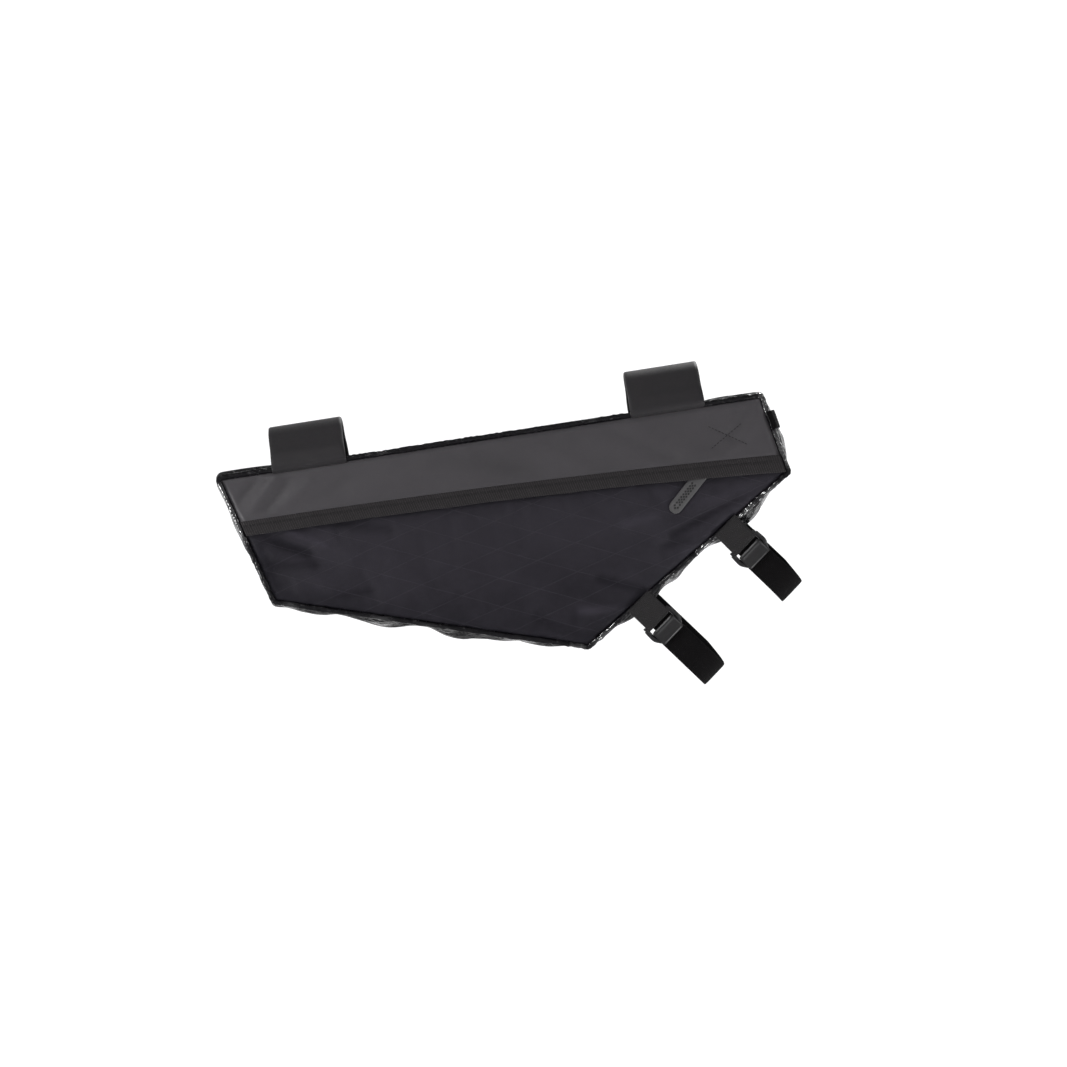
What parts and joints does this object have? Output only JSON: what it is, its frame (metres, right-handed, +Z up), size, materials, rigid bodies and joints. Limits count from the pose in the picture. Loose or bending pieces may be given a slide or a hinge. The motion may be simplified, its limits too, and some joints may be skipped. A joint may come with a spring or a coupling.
{
  "type": "bicycle frame bag",
  "caption": "Five-sided soft pouch for a bicycle's main triangle, with a flap over its zip, wide top tube straps and webbing down tube straps.",
  "frame": {"origin": "on the top tube's axis, midway between the two wide top straps", "axes": "+X forward along a level bicycle, +Y towards the bag's far side, +Z up; the top tube climbs 8.87 degrees towards +X"},
  "size_m": [0.4183, 0.0699, 0.2308],
  "materials": {
    "coated_band": "dark grey rubber-coated cloth, fine leathery grain, soft sheen",
    "ribbed_hem": "black grosgrain binding with fine cross ribs and one stitch line",
    "panel_fabric": "black laminated pack cloth with faint crossed diagonal yarns",
    "gusset_fabric": "glossy black coated cloth, crumpled",
    "piping": "glossy black cloth over a round cord",
    "webbing": "matte black woven webbing",
    "buckle_plastic": "black moulded plastic with a soft shine",
    "zip_tape": "black coated zip tape",
    "puller_rubber": "grey moulded rubber with small diamond recesses"
  },
  "bodies": {
    "root": {"near_panel": "panel_fabric", "upper_band": "coated_band", "flap_hem": "ribbed_hem", "zip": "zip_tape", "zip_puller": "puller_rubber", "far_panel": "panel_fabric", "near_piping": "piping", "far_piping": "piping", "gusset": "gusset_fabric", "front_tab": "webbing", "top_strap_rear": "coated_band", "top_strap_front": "coated_band", "strap_tail_upper": "webbing", "adjuster_upper": "buckle_plastic", "tube_strap_upper": "webbing", "strap_tail_lower": "webbing", "adjuster_lower": "buckle_plastic", "tube_strap_lower": "webbing"}
  },
  "joints": []
}
